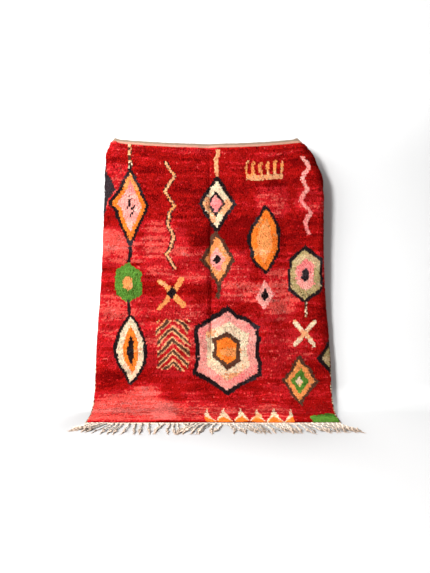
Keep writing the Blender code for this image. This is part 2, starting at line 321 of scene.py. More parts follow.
def figureShare(kind, across, down):
    # 0 in the middle of the figure, 1 at its outline, more outside. Offsets are shares of its
    # halves: a lozenge adds them, a leaf bends one, a hexagon takes the greater of two slopes,
    # and the others measure how far the place is from their lines
    wide, tall = np.abs(across), np.abs(down)
    inside, outside = np.maximum(wide, tall) < 1, outlines["outside"]
    if kind == "lozenge":
        return wide + tall
    if kind == "leaf":
        return wide + tall ** outlines["leafPower"]
    if kind == "hexagon":
        slopeWide, slopeTall = outlines["hexagonSlopes"]
        return np.maximum(wide, slopeWide * wide + slopeTall * tall)
    if kind == "bar":
        return np.maximum(wide, tall)
    if kind == "zigzag":
        turn = np.abs((down * outlines["zigzagTurns"] + 0.5) % 2 - 1) * 2 - 1
        line = np.abs(across - turn * outlines["zigzagSwing"]) / outlines["zigzagHalf"]
        return np.where(tall < 1, line, outside)
    if kind == "cross":
        return np.where(inside, np.abs(wide - tall) / outlines["crossHalf"], outside)
    if kind == "chevrons":
        arm = ((down - wide * outlines["chevronSlope"]) * outlines["chevronsTall"]) % 1.0
        return np.where(inside, np.abs(arm - 0.5) / outlines["chevronHalf"], outside)
    if kind == "comb":
        tooth = np.abs((across * outlines["combTeeth"]) % 1.0 - 0.5) / outlines["combToothHalf"]
        tooth = np.where(down < 0, tooth, outside)
        return np.where(inside, np.minimum(tall / outlines["combBackHalf"], tooth), outside)
    # teeth: a row of triangles that point up
    rise = 1 - np.abs((across * outlines["teethAcross"]) % 1.0 - 0.5) * 2
    return np.where(inside, (1 - down) / 2 / np.maximum(rise, 0.02), outside)


# Lighter or darker patches of the ground, where a yarn of another dye lot was taken up.
# across, down, half width, half height, dye lots up
groundPatches = (
    (-0.650, 0.300, 0.120, 0.140, 1.6),
    (-0.650, 0.700, 0.150, 0.110, 2.3),
    (-0.310, 0.680, 0.150, 0.170, 1.8),
    (-0.220, 0.330, 0.120, 0.200, -0.2),
    (-0.090, 0.800, 0.110, 0.110, 1.5),
    (0.140, 0.900, 0.120, 0.180, 1.6),
    (0.400, 0.400, 0.110, 0.110, 1.3),
    (0.330, 0.600, 0.340, 0.090, -1.0),
    (0.440, 0.960, 0.130, 0.160, 1.7),
    (0.640, 0.380, 0.110, 0.100, 1.0),
    (0.640, 0.820, 0.140, 0.100, 0.9),
    (0.620, 0.160, 0.120, 0.100, -0.7),
    (-0.640, 1.120, 0.160, 0.160, 0.3),
    (-0.400, 1.300, 0.420, 0.270, 0.9),
    (-0.620, 1.520, 0.200, 0.040, -0.9),
    (0.360, 1.330, 0.270, 0.280, 0.9),
    (0.080, 1.470, 0.180, 0.070, 1.2),
    (-0.560, 1.810, 0.300, 0.170, 2.3),
    (-0.130, 1.830, 0.220, 0.150, 1.9),
    (0.300, 1.850, 0.200, 0.120, 1.4),
    (0.000, 0.075, 0.600, 0.045, 0.4),
    (0.000, 1.962, 0.900, 0.026, -1.3),
)


# How the ground goes from one dye lot to another. A noise row is as withNoise has it
groundDye = {
    "middleLot": 1.50,
    "drifts": ((0.75, 3, 0.26, 0.017, 11), (0.50, 5, 0.40, 0.10, 12), (0.45, 7, 0.05, 0.009, 13)),
    "patchPower": 3,
    "patchWander": ((0.16, 0, 0.12, 0.020, 14), (0.22, 0, 0.15, 0.11, 20)),
    "patchFade": (0.70, 1.30),
    "fleckLift": 1.1,
    "fleckShare": 0.022,
    "fleckDrift": ((1.0, 6, 0.20, 0.12, 21),),
    "dither": 0.34,
}
# How a figure's outline wanders and its yarns change
figureYarn = {
    "fineWander": 0.008,
    "broadWander": 0.014,
    "blocks": 128,  # two by two knots each, after which the mixed yarns' blocks repeat
    "blocksTurned": 0.28,
    "kinFrom": 0.42,
    "kinSpread": 0.16,
}


def knotYarn(u, s, knot):
    # the yarn of every knot: a dye lot of the ground, from noises, patches and flecks that are
    # added up and rounded down, then each figure over it
    draw = np.random.default_rng(5)
    lot = withNoise(groundDye["middleLot"], u, s, groundDye["drifts"])
    power = groundDye["patchPower"]
    for across, down, halfWidth, halfHeight, lift in groundPatches:
        far = np.abs((u - across) / halfWidth) ** power + np.abs((s - down) / halfHeight) ** power
        far = withNoise(far ** (1 / power), u, s, groundDye["patchWander"])
        lot += lift * (1 - ease(far, *groundDye["patchFade"]))
    fleckShare = groundDye["fleckShare"] * withNoise(1, u, s, groundDye["fleckDrift"])
    lot += groundDye["fleckLift"] * (draw.uniform(0, 1, u.shape) < fleckShare)
    lot = np.floor(lot + draw.uniform(-groundDye["dither"], groundDye["dither"], u.shape))
    lot = lot.clip(0, len(groundYarns) - 1).astype(int)
    yarn = np.array([yarnNames.index(name) for name in groundYarns])[lot]
    fine, broad = figureYarn["fineWander"], figureYarn["broadWander"]
    wanderU = fine * softNoise(s, u, 0.05, 0.30, 15) + broad * softNoise(s, u + 2, 0.17, 0.24, 17)
    wanderS = fine * softNoise(u + 2, s, 0.06, 0.30, 16) + broad * softNoise(u, s + 2, 0.19, 0.21, 18)
    # mixed yarns change in uneven blocks of two by two knots
    blocks = figureYarn["blocks"]
    turned = np.random.default_rng(8).uniform(0, 1, (blocks, blocks)) < figureYarn["blocksTurned"]
    block = (knot[0] // 2, knot[1] // 2)
    alternate = (block[0] + block[1] + turned[block[0] % blocks, block[1] % blocks]) % 2
    for kind, across, down, halfWidth, halfHeight, shares in figures:
        offset = ((u + wanderU - across) / halfWidth, (s + wanderS - down) / halfHeight)
        share = figureShare(kind, *offset)
        for name, reach in shares:
            pair = [yarnNames.index(n) for n in mixedYarns.get(name, (name, name))]
            yarn = np.where(share < reach, np.where(alternate == 0, *pair), yarn)
    kin = softNoise(u + 1, s, 0.16, 0.055, 19) + draw.normal(0, figureYarn["kinSpread"], u.shape)
    return np.where(kin > figureYarn["kinFrom"], np.array(kinOf)[yarn], yarn)


# How uneven a yarn's colour is. A noise row is as withNoise has it, its seed added to the piece's
shading = {
    "streaks": ((0.13, 1, 0.10, 0.014, 0), (0.07, 4, 0.9, 0.0085, 1)),
    "blotches": ((0.15, 2, 0.034, 0.042, 2),),
    "blotchSlant": 0.6,
    "brightLimits": (0.55, 1.5),
    "warmth": 1.2,
    "warmLimits": (0.6, 1.5),
}


def yarnShade(yarn, u, s, seed, spread):
    # the yarn's colour, uneven from knot to knot, in soft streaks along the rows and in blotches
    draw = np.random.default_rng(seed)
    bright = withNoise(1 + spread * draw.normal(0, 1, u.shape), u, s, shading["streaks"], seed)
    bright = withNoise(bright, u + s * shading["blotchSlant"], s, shading["blotches"], seed)
    warm = 1 + shading["warmth"] * spread * draw.normal(0, 1, u.shape)
    colour = yarnColours[yarn] * bright.clip(*shading["brightLimits"])[..., None]
    colour[..., 1:] *= warm.clip(*shading["warmLimits"])[..., None]
    return np.clip(colour, 0.0, brightest)


def meshObject(name, points, faceGroups, material, colours=None, flatMap=None, bakeMap=None):
    # one mesh from whole arrays; each face group has faces of one number of corners
    mesh = bpy.data.meshes.new(name)
    points = np.asarray(points, np.float32).reshape(-1, 3)
    mesh.vertices.add(len(points))
    mesh.vertices.foreach_set("co", points.ravel())
    loops = np.concatenate([np.asarray(g).ravel() for g in faceGroups]).astype(np.int32)
    counts = np.concatenate([np.full(len(g), np.asarray(g).shape[1]) for g in faceGroups])
    mesh.loops.add(len(loops))
    mesh.loops.foreach_set("vertex_index", loops)
    mesh.polygons.add(len(counts))
    starts = np.concatenate([[0], np.cumsum(counts)[:-1]]).astype(np.int32)
    mesh.polygons.foreach_set("loop_start", starts)
    mesh.update(calc_edges=True)
    if colours is not None:
        layer = mesh.color_attributes.new("yarnColour", "FLOAT_COLOR", "POINT")
        rgba = np.ones((len(points), 4), np.float32)
        rgba[:, :colours.shape[-1]] = colours.reshape(len(points), -1)
        layer.data.foreach_set("color", rgba.ravel())
    for mapName, flat in (("clothMap", flatMap), ("OFBake", bakeMap)):
        if flat is not None:
            layer = mesh.uv_layers.new(name=mapName)
            uv = np.asarray(flat, np.float32).reshape(-1, 2)[loops]
            layer.uv.foreach_set("vector", uv.ravel())
    mesh.shade_smooth()
    made = bpy.data.objects.new(name, mesh)
    made.data.materials.append(material)
    bpy.context.scene.collection.objects.link(made)
    return made


def gridFaces(rows, columns, wrapColumns=False):
    # quads between neighbouring points of a grid stored row by row
    index = np.arange(rows * columns).reshape(rows, columns)
    nextColumn = np.roll(index, -1, axis=1)
    if not wrapColumns:
        index, nextColumn = index[:, :-1], nextColumn[:, :-1]
    quads = np.stack([index[:-1], nextColumn[:-1], nextColumn[1:], index[1:]], axis=-1)
    return quads.reshape(-1, 4)


def tubeFaces(tubes, rings, sides, turned=False):
    # side quads and both ends of closed tubes, whose points are stored ring by ring. Turned
    # faces suit rings that run the other way round
    index = np.arange(tubes * rings * sides).reshape(tubes, rings, sides)
    quads = index[:, :1, :1] + gridFaces(rings, sides, wrapColumns=True)
    faces = [quads.reshape(-1, 4), index[:, 0, ::-1], index[:, -1]]
    return [face[:, ::-1] for face in faces] if turned else faces


def besides(along):
    # unit vectors, level and at right angles to along
    along = along / np.linalg.norm(along, axis=-1, keepdims=True)
    return np.stack([-along[..., 1], along[..., 0], np.zeros_like(along[..., 0])], axis=-1)


def shaderNodes(name, roughness):
    # a matte Principled material, with a short way to add nodes and to link them
    material = bpy.data.materials.new(name)
    material.use_nodes = True
    nodes, links = material.node_tree.nodes, material.node_tree.links
    shader = nodes["Principled BSDF"]
    shader.inputs["Roughness"].default_value = roughness
    shader.inputs["Specular IOR Level"].default_value = 0.0

    def add(kind, values=None, inputs=None):
        node = nodes.new("ShaderNode" + kind)
        for key, value in (values or {}).items():
            setattr(node, key, value)
        for key, value in (inputs or {}).items():
            node.inputs[key].default_value = value
        return node

    return material, shader, add, links.new


def yarnMaterial(name, roughness, fibre, rootShade, bump):
    # wool: the piece's own yarn colour with painted shade towards its root, where the colour's alpha is
    # low, and fine fibres in colour and relief
    material, shader, add, link = shaderNodes(name, roughness)
    colour = add("Attribute", {"attribute_name": "yarnColour"})
    place = add("TexCoord")
    fibres = add("TexNoise", inputs={"Scale": fibre, "Detail": 3.0, "Roughness": 0.6})
    link(place.outputs["Object"], fibres.inputs["Vector"])
    streak = add("MapRange", inputs={"From Min": 0.3, "From Max": 0.7, "To Min": 0.80, "To Max": 1.16})
    link(fibres.outputs["Fac"], streak.inputs["Value"])
    # painted shade: the colour's alpha, 0 at a root and 1 at a tip, darkens the yarn to rootShade at the
    # root
    depth = add("MapRange", inputs={"To Min": rootShade, "To Max": 1.0})
    link(colour.outputs["Alpha"], depth.inputs["Value"])
    both = add("Math", {"operation": "MULTIPLY"})
    link(streak.outputs["Result"], both.inputs[0])
    link(depth.outputs["Result"], both.inputs[1])
    shade = add("VectorMath", {"operation": "SCALE"})
    link(colour.outputs["Color"], shade.inputs[0])
    link(both.outputs[0], shade.inputs["Scale"])
    link(shade.outputs[0], shader.inputs["Base Color"])
    relief = add("Bump", inputs={"Strength": bump, "Distance": 0.0006})
    link(fibres.outputs["Fac"], relief.inputs["Height"])
    link(relief.outputs["Normal"], shader.inputs["Normal"])
    return material


# The pile: every knot leaves two cut yarn ends, which lie down the rug and fan a little
pile = {
    "knotsAcross": 172,
    "knotsDown": 230,
    "pieces": 4,
    "endHeight": 0.0115,
    "endLay": 0.0130,  # how far down the rug a yarn end reaches from its root
    "rootRadius": 0.0026,
    "tipRadius": 0.0046,
    "rootHeight": 0.0012,
    "rootSquash": 0.8,
    "capTilt": 0.55,
    "capCalm": 0.8,  # how much flatter the tips lie where the cloth turns to the floor
    "capCalmFrom": 0.25,
    "edgeInset": 0.006,
    "rowStart": 0.25,
    "sideRoom": 0.004,
    "floorRoom": 0.0015,
    "cornerClimb": 0.014,  # at the left hang point the pile climbs over the band
    "climbAcross": (-0.638, -0.600),
    "climbDown": 0.20,
    "endPlaces": (-0.25, 0.25),  # of a knot's two ends, and their spreads, as shares of a pitch
    "placeSpread": (0.10, 0.09),
    "knotColourSpread": 0.085,
    "endColourSpread": 0.05,
    "sizeSpread": 0.11,
    "heightSpread": 0.09,
    "layDrift": ((0.22, 4, 0.10, 0.06, 42),),  # noise rows as withNoise has them
    "heightDrift": ((-0.16, 9, 0.08, 0.05, 43),),
    "rowDrift": 0.12,
    "combAside": 0.0045,
    "tipSpread": 0.0013,
    "lastRows": 0.030,  # at the floor end, where the pile is lower and ragged, and darkened there by painted shade
    "lastRagged": 0.34,
    "lastLower": 0.10,
    "lastShade": 0.42,
    "mapSpread": (0.40, 0.22),  # of a root ring and a tip ring in its cell of the bake map
}
pileMaterial = yarnMaterial("woolPile", roughness=0.95, fibre=900.0, rootShade=0.80, bump=0.5)


def pileArrays():
    # knots on a grid of rows across the rug, two ends each, every end a three-sided lock whose
    # root ring stands on the cloth and whose wider tip ring lies further down and outwards
    draw = np.random.default_rng(21)
    across, down = pile["knotsAcross"], pile["knotsDown"]
    pitchU = (cloth["width"] - 2 * pile["edgeInset"]) / across
    pitchS = (cloth["length"] - cloth["bandHeight"] - pile["edgeInset"]) / down
    row, column = np.meshgrid(np.arange(down), np.arange(across), indexing="ij")
    knotU = -cloth["width"] / 2 + pile["edgeInset"] + (column + 0.5) * pitchU
    knotS = cloth["bandHeight"] + (row + pile["rowStart"]) * pitchS
    climbed = 1 - ease(knotU, *pile["climbAcross"])
    climbed = climbed * (1 - ease(knotS, cloth["bandHeight"], pile["climbDown"]))
    knotS = knotS - pile["cornerClimb"] * climbed
    yarn = knotYarn(knotU, knotS, (column, row))
    colour = yarnShade(yarn, knotU, knotS, 31, pile["knotColourSpread"])

    # (row, column, end)
    spreadU, spreadS = pile["placeSpread"]
    u = knotU[..., None] + pitchU * np.array(pile["endPlaces"])
    u = u + draw.normal(0, spreadU, u.shape) * pitchU
    s = knotS[..., None] + draw.normal(0, spreadS, u.shape) * pitchS
    endShade = draw.normal(1, pile["endColourSpread"], u.shape)[..., None]
    colour = np.repeat(colour[:, :, None], 2, axis=2) * endShade
    comb = softNoise(u, s, 0.055, 0.045, 41)[..., None]
    size = (1 + draw.normal(0, pile["sizeSpread"], u.shape))[..., None]
    lay = pile["endLay"] * size * withNoise(1, u, s, pile["layDrift"])[..., None]
    height = pile["endHeight"] * (1 + draw.normal(0, pile["heightSpread"], u.shape)[..., None])
    height = height * withNoise(1, u, s, pile["heightDrift"])[..., None]
    height = height * (1 + pile["rowDrift"] * softNoise(u + 2, s, 0.045, pitchS, 44)[..., None])
    lastRow = cloth["length"] - pitchS
    endward = ease(s, cloth["length"] - pile["lastRows"], lastRow)[..., None]
    ragged = pile["lastRagged"] * softNoise(u, s * 0, 0.022, 1, 45)[..., None]
    height = height * (1 + endward * (ragged - pile["lastLower"]))
    # painted shade: the last row of yarn ends is darkened towards the floor end
    colour = colour * (1 - pile["lastShade"] * ease(s, lastRow - pitchS, lastRow)[..., None])
    calm = pile["capCalm"] * ease(s, bendStart - pile["capCalmFrom"], bendEnd)[..., None]
    capTilt = pile["capTilt"] * (1 - calm)
    sideways = pile["combAside"] * comb + draw.normal(0, pile["tipSpread"], u.shape)[..., None]
    spin = draw.uniform(0, 2 * math.pi / 3, u.shape)[..., None] + np.arange(3) * 2 * math.pi / 3
    ringA, ringB = np.cos(spin), np.sin(spin)

    root = pile["rootRadius"] * size
    tip = pile["tipRadius"] * size
    offsetU = np.concatenate([root * ringA, sideways + tip * ringA], axis=-1)
    offsetS = np.concatenate([root * ringB * pile["rootSquash"], lay + tip * ringB], axis=-1)
    lift = np.concatenate([
        np.broadcast_to(pile["rootHeight"], ringA.shape),
        height + tip * capTilt * ringB,
    ], axis=-1)
    flatU, flatS = u[..., None] + offsetU, s[..., None] + offsetS
    limit = cloth["width"] / 2 + pile["sideRoom"]
    points = onCloth(flatU.clip(-limit, limit), flatS, lift)
    points[..., 2] = np.maximum(points[..., 2], pile["floorRoom"])
    # painted shade: the alpha is 0 on the root rings and 1 on the tip rings, so the material darkens each
    # lock towards its root
    shade = np.concatenate([np.zeros(ringA.shape), np.ones(ringA.shape)], axis=-1)
    colours = np.concatenate([
        np.broadcast_to(colour[..., None, :], (*shade.shape, 3)), shade[..., None],
    ], axis=-1)
    # each end has a cell of its own on the bake map
    cellU = (column[..., None] * 2 + np.arange(2) + 0.5)[..., None]
    spread = np.repeat(pile["mapSpread"], 3)
    mapU = (cellU + spread * np.tile(ringA, 2)) / (2 * across)
    mapV = row[..., None, None] + 0.5 + spread * np.tile(ringB, 2)
    return points, colours, mapU, mapV


def pilePieces():
    # the yarn ends in a few pieces, each a run of whole rows
    points, colours, mapU, mapV = pileArrays()
    sides = np.array([[3, 4, 1, 0], [4, 5, 2, 1], [5, 3, 0, 2]])
    cap = np.array([[5, 4, 3]])
    made = []
    for number, rows in enumerate(np.array_split(np.arange(pile["knotsDown"]), pile["pieces"])):
        part = points[rows].reshape(-1, 6, 3)
        first = np.arange(len(part))[:, None, None] * 6
        quads = (first + sides).reshape(-1, 4)
        tips = (first + cap).reshape(-1, 3)
        v = (mapV[rows] - rows[0]) / len(rows)
        flat = np.stack([mapU[rows], v], axis=-1)
        name = f"pile_{number + 1}"
        made.append(meshObject(name, part, [quads, tips], pileMaterial, colours[rows], None, flat))
        print(name, len(part), "yarn ends")
    return made


pilePiecesMade = pilePieces()


# The ground weave behind the pile: knots' backs between weft rows
ground = {
    "columns": 130,
    "rows": 170,
    "top": 0.011,  # it starts halfway down the band
    "thickness": 0.0030,
    "knotAcross": 0.0090,
    "knotDown": 0.0085,
    "weft": (0.17, 0.030, 0.026),
    "backShade": 0.8,
    "colourSpread": 0.08,
}


def groundMaterial():
    # rows of knot backs, two nubs a knot, with a pale weft line between the rows
    material, shader, add, link = shaderNodes("groundWeave", 0.92)
    colour = add("Attribute", {"attribute_name": "yarnColour"})
    flat = add("UVMap", {"uv_map": "clothMap"})
    axes = add("SeparateXYZ")
    link(flat.outputs["UV"], axes.inputs[0])

    def wave(source, pitch, low, high):
        # a sine of this pitch, stretched so that low gives 0 and high gives 1
        turn = add("Math", {"operation": "MULTIPLY"}, {1: 2 * math.pi / pitch})
        link(source, turn.inputs[0])
        sine = add("Math", {"operation": "SINE"})
        link(turn.outputs[0], sine.inputs[0])
        ranged = add("MapRange", inputs={"From Min": low, "From Max": high})
        link(sine.outputs[0], ranged.inputs["Value"])
        return ranged.outputs["Result"]

    nubs = wave(axes.outputs["X"], ground["knotAcross"] / 2, -1.0, 0.4)
    rows = wave(axes.outputs["Y"], ground["knotDown"], -0.5, 0.3)
    weft = add("Mix", {"data_type": "RGBA"})
    weft.inputs["A"].default_value = (*ground["weft"], 1.0)
    link(rows, weft.inputs["Factor"])
    link(colour.outputs["Color"], weft.inputs["B"])
    place = add("TexCoord")
    fibres = add("TexNoise", inputs={"Scale": 700.0, "Detail": 3.0})
    link(place.outputs["Object"], fibres.inputs["Vector"])
    streak = add("MapRange", inputs={"From Min": 0.3, "From Max": 0.7, "To Min": 0.72, "To Max": 1.15})
    link(fibres.outputs["Fac"], streak.inputs["Value"])
    shade = add("VectorMath", {"operation": "SCALE"})
    link(weft.outputs["Result"], shade.inputs[0])
    link(streak.outputs["Result"], shade.inputs["Scale"])
    link(shade.outputs[0], shader.inputs["Base Color"])
    lumps = add("Math", {"operation": "MULTIPLY"})
    link(nubs, lumps.inputs[0])
    link(rows, lumps.inputs[1])
    total = add("Math", {"operation": "ADD"})
    link(lumps.outputs[0], total.inputs[0])
    link(fibres.outputs["Fac"], total.inputs[1])
    relief = add("Bump", inputs={"Strength": 0.8, "Distance": 0.0012})
    link(total.outputs[0], relief.inputs["Height"])
    link(relief.outputs["Normal"], shader.inputs["Normal"])
    return material


def groundPiece():
    # the drape on a grid, with each point coloured as the knot there; Solidify gives its thickness
    rows, columns = ground["rows"] + 1, ground["columns"] + 1
    s, u = np.meshgrid(
        np.linspace(ground["top"], cloth["length"], rows),
        np.linspace(-cloth["width"] / 2, cloth["width"] / 2, columns), indexing="ij")
    knot = (np.floor(u / ground["knotAcross"]).astype(int), np.floor(s / ground["knotDown"]).astype(int))
    colour = yarnShade(knotYarn(u, s, knot), u, s, 33, ground["colourSpread"]) * ground["backShade"]
    points = onCloth(u, s, 0.0)
    flat = np.stack([u, s], axis=-1)
    faces = gridFaces(rows, columns)[:, ::-1]
    made = meshObject("ground_weave", points, [faces], groundMaterial(), colour, flat)
    thick = made.modifiers.new("thickness", "SOLIDIFY")
    thick.thickness = ground["thickness"]
    thick.offset = 1.0
    return made


groundMade = groundPiece()
print("ground weave")


# The band at the top: a flat-woven front, and the turned-over layer that stands behind it, the same weave
# coloured darker and greyer as painted shade
band = {
    "columns": 620,
    "rows": 6,
    "frontTop": 0.0140,
    "frontThick": 0.0028,
    "frontLift": 0.0032,
    "backThick": 0.0030,
    "frontUnder": 0.005,  # how far each layer runs on under the pile
    "backUnder": 0.010,
    "roundness": 0.4,
    "thinEnd": 0.02,  # keeps the layer from closing to nothing at its edges
    "ribPitch": 0.0050,
    "ribRise": 0.0005,
    "grooveShade": 0.82,
    "wander": ((0.0009, 0, 0.03, 1, 0), (0.0006, 0, 0.009, 1, 1)),  # noise rows
    "mottle": ((0.10, 3, 0.006, 0.003, 2),),
    "grain": 0.05,
    "peak": 0.0060,  # how far the back layer is pulled up at a hang point
    "peakWidth": 0.014,
    "front": (166, 121, 102),
    # the turned-over layer's colour: the front's weave made darker and greyer, as painted shade
    "back": (125, 107, 91),
}


def bandPiece(name, top, under, lift, thickness, colour, peak, seed):
    # a closed flat tube along the top edge: up its front, over its top and down its back, with
    # ribs across it from the warps
    u = np.linspace(-cloth["width"] / 2, cloth["width"] / 2, band["columns"])
    held = [(cloth["width"] / 2 - corners[side]["flap"]) * side for side in (1, -1)]
    pulled = sum(np.exp(-((u - h) / band["peakWidth"]) ** 2) for h in held) * peak
    wander = withNoise(0, u, u * 0, band["wander"], seed)
    bottom, rows = cloth["bandHeight"] + under, band["rows"]
    share = np.linspace(0, 1, rows)
    down = np.concatenate([share, share[::-1]])
    front = np.concatenate([np.zeros(rows), np.ones(rows)])
    rounded = np.sin(np.pi * down.clip(band["thinEnd"], 1 - band["thinEnd"])) ** band["roundness"]
    s = (top - pulled + wander)[:, None] + down * (bottom - top + pulled)[:, None]
    rib = np.abs(np.sin(np.pi * u / band["ribPitch"]))[:, None]
    height = lift + thickness * (0.5 + (front - 0.5) * rounded) + band["ribRise"] * rib * front
    points = onCloth(u[:, None], s, height)
    draw = np.random.default_rng(seed)
    shade = withNoise(1, u[:, None], s, band["mottle"], seed) + band["grain"] * draw.normal(0, 1, s.shape)
    # painted shade: darker in the grooves between the warp ribs
    shade = shade * (band["grooveShade"] + (1 - band["grooveShade"]) * rib)
    colours = linear(colour) * shade[..., None]
    faces = tubeFaces(1, len(u), 2 * rows, turned=True)
    return meshObject(name, points, faces, bandMaterial, colours.clip(0, brightest))


bandMaterial = yarnMaterial("flatWeave", roughness=0.9, fibre=1400.0, rootShade=1.0, bump=0.6)
bandBack = bandPiece("band_back", 0.0, band["backUnder"], 0.0, band["backThick"],
                     band["back"], band["peak"], 51)
bandFront = bandPiece("band_front", band["frontTop"], band["frontUnder"], band["frontLift"],
                      band["frontThick"], band["front"], 0.0, 61)
print("heading band")


# Side edges overcast with thick yarn in turns of several colours
edge = {
    "radius": 0.0052,
    "inset": 0.001,
    "depth": 0.0055,  # of the cord's middle in front of the cloth's back
    "turnPitch": 0.0075,
    "turnSlant": 0.8,
    "waist": 0.80,  # the cord's radius between two turns, and how much a turn adds
    "turnSwell": 0.24,
    "rings": 1100,
    "sides": 8,
    "yarns": ("cream", "brown", "red", "black"),
    "weights": (0.40, 0.24, 0.22, 0.14),
    "turnsDrawn": 400,
    "brightness": 0.6,
    "colourSpread": 0.06,
}
edgeMaterial = yarnMaterial("overcastEdge", roughness=0.9, fibre=1200.0, rootShade=0.6, bump=0.6)


def edgePiece(name, side, seed):
    # a round cord along the cloth's side, swelling with each slanted turn of the overcasting yarn
    s = np.linspace(cloth["bandHeight"], cloth["length"], edge["rings"])
    around = np.linspace(0, 2 * np.pi, edge["sides"], endpoint=False)
    turn = s[:, None] / edge["turnPitch"] + side * around / (2 * np.pi) * edge["turnSlant"]
    swell = np.abs(np.sin(np.pi * turn))
    radius = edge["radius"] * (edge["waist"] + edge["turnSwell"] * swell)
    offset = radius * np.cos(around)
    depth = edge["depth"] + radius * np.sin(around)
    u = side * (cloth["width"] / 2 - edge["inset"] + offset)
    points = onCloth(u, s[:, None], depth)
    points[..., 2] = np.maximum(points[..., 2], 0.0)
    draw = np.random.default_rng(seed)
    run = draw.choice(len(edge["yarns"]), edge["turnsDrawn"], p=edge["weights"])
    run = run[np.floor(turn).astype(int) % edge["turnsDrawn"]]
    picked = np.array([yarnNames.index(n) for n in edge["yarns"]])[run]
    uneven = draw.normal(1, edge["colourSpread"], picked.shape)[..., None]
    colours = yarnColours[picked] * edge["brightness"] * uneven
    # painted shade: the alpha carries the swell, so the material darkens the cord between its turns
    colours = np.concatenate([colours.clip(0, brightest), swell[..., None]], axis=-1)
    faces = tubeFaces(1, len(s), edge["sides"], turned=side < 0)
    return meshObject(name, points, faces, edgeMaterial, colours)


edgeRight = edgePiece("edge_right", 1, 71)
edgeLeft = edgePiece("edge_left", -1, 72)
print("overcast edges")


# The floor end: a narrow woven strip, and the warps that leave it, twisted in two plies and knotted
fringe = {
    "strands": 72,
    "seed": 17,
    "strandWidth": 0.0105,
    "rootDepth": 0.020,
    "rootGap": 0.0003,
    "rootOverlap": 0.012,
    "jitter": math.radians(7.0),
    "lengthSpread": 0.010,
    "bow": 0.014,
    "hook": 0.026,
    "plyRadius": 0.0033,
    "plyTurn": 0.036,
    "plyShades": (1.16, 0.66),  # one ply is paler than the other
    "plyApart": 0.85,
    "flatten": 0.6,
    "sink": 0.94,
    "rings": 44,
    "sides": 6,
    "knotShare": 0.82,
    "knotLength": 0.035,
    "knotSwell": 1.15,
    "tailSlim": 0.35,
    "tailFrom": 0.88,
    "waveRise": 0.0030,
    "waveGrown": 0.35,  # the share of a strand at which its waves are full
    "waveLong": 0.075,
    "waveShort": 0.034,
    "shortShare": 0.6,
    "tipCurl": 0.016,  # how far a strand bends aside past its knot
    "tipCurlRun": (0.62, 1.05),
    "lift": 0.0060,  # strands that cross lie at heights up to this
    "liftEnds": 0.9,
    "floorRise": 0.0012,
    "crowdSwell": 0.12,  # how much thicker a strand is for each step up in crowding
    "crowded": (0.8, 1.3),
    "underSlim": 0.62,  # where strands crowd, every second one lies under, thinner and darkened by painted shade
    "underShade": 0.50,
    "shadeSpread": (1.04, 0.15),  # middle and spread of the strands' brightness, and its limits
    "shadeLimits": (0.66, 1.25),
    "grooveDepth": 0.005,
    "grooveShares": (0.5, 0.3, 0.35),  # of a ply's painted shade: even, by height, by the fold between plies
    "colour": (222, 206, 190),
    "tipColour": (188, 166, 148),
    "greyFrom": 0.35,  # the share of a strand from which it goes over to the tip's colour
    "stripColour": (220, 194, 176),
    "mapRoom": 0.1,
}
# How the strands spread: place along the end from -1 to 1, heading in degrees, length, crowding
spreadRows = np.array((
    (-1.00, -30.0, 0.135, 1.5), (-0.93, -42.0, 0.142, 1.6), (-0.84, -38.0, 0.162, 1.5),
    (-0.77, -12.0, 0.165, 0.8), (-0.66, -8.0, 0.160, 0.6), (-0.55, 6.0, 0.158, 0.6),
    (-0.45, 4.0, 0.155, 0.4), (-0.38, -14.0, 0.155, 0.6), (-0.32, 6.0, 0.160, 0.9),
    (-0.24, 8.0, 0.160, 1.0), (-0.17, -24.0, 0.165, 1.4), (-0.08, -30.0, 0.168, 1.6),
    (0.00, -26.0, 0.165, 1.2), (0.06, -10.0, 0.150, 0.7), (0.10, 24.0, 0.160, 0.9),
    (0.20, 32.0, 0.165, 1.1), (0.30, 22.0, 0.160, 1.0), (0.40, 34.0, 0.165, 1.3),
    (0.50, 36.0, 0.168, 1.4), (0.58, 10.0, 0.150, 0.5), (0.66, 14.0, 0.155, 0.8),
    (0.74, 36.0, 0.168, 1.3), (0.86, 43.0, 0.175, 1.6), (1.00, 42.0, 0.182, 1.6),
))
fringeMaterial = yarnMaterial("fringeYarn", roughness=0.9, fibre=1500.0, rootShade=0.30, bump=0.6)


def strandPaths(share):
    # the solid's strands: out from the root strip on a spread of headings, with a bow and a hook
    draw = np.random.default_rng(fringe["seed"])
    count, jitter = fringe["strands"], fringe["jitter"]
    crowd = (spreadRows[1:, 3] + spreadRows[:-1, 3]) / 2 * np.diff(spreadRows[:, 0])
    passed = np.concatenate([[0.0], np.cumsum(crowd)])
    order = (np.arange(count) + 0.5) / count
    at = np.interp(order * passed[-1], passed, spreadRows[:, 0])
    heading = np.radians(np.interp(at, spreadRows[:, 0], spreadRows[:, 1]))
    heading += draw.uniform(-jitter, jitter, count) * (1 - at ** 2)
    length = np.interp(at, spreadRows[:, 0], spreadRows[:, 2]) + fringe["rootOverlap"]
    length += draw.uniform(-fringe["lengthSpread"], 0.0, count)
    bow = draw.uniform(-fringe["bow"], fringe["bow"], count)
    hook = draw.uniform(-fringe["hook"], fringe["hook"], count) * (1 - at ** 2)
    ahead = length[:, None] * share
    aside = bow[:, None] * np.sin(np.pi * share) * (1 - share) + hook[:, None] * share ** 3
    rootY = clothEndY - fringe["rootGap"] - fringe["rootDepth"] + fringe["rootOverlap"]
    x = at[:, None] * (cloth["width"] / 2 - fringe["strandWidth"])
    x = x + ahead * np.sin(heading)[:, None] + aside * np.cos(heading)[:, None]
    y = rootY - ahead * np.cos(heading)[:, None] + aside * np.sin(heading)[:, None]
    crowding = np.interp(at, spreadRows[:, 0], spreadRows[:, 3])
    return np.stack([x, y, np.zeros_like(x)], axis=-1) + place, length, crowding


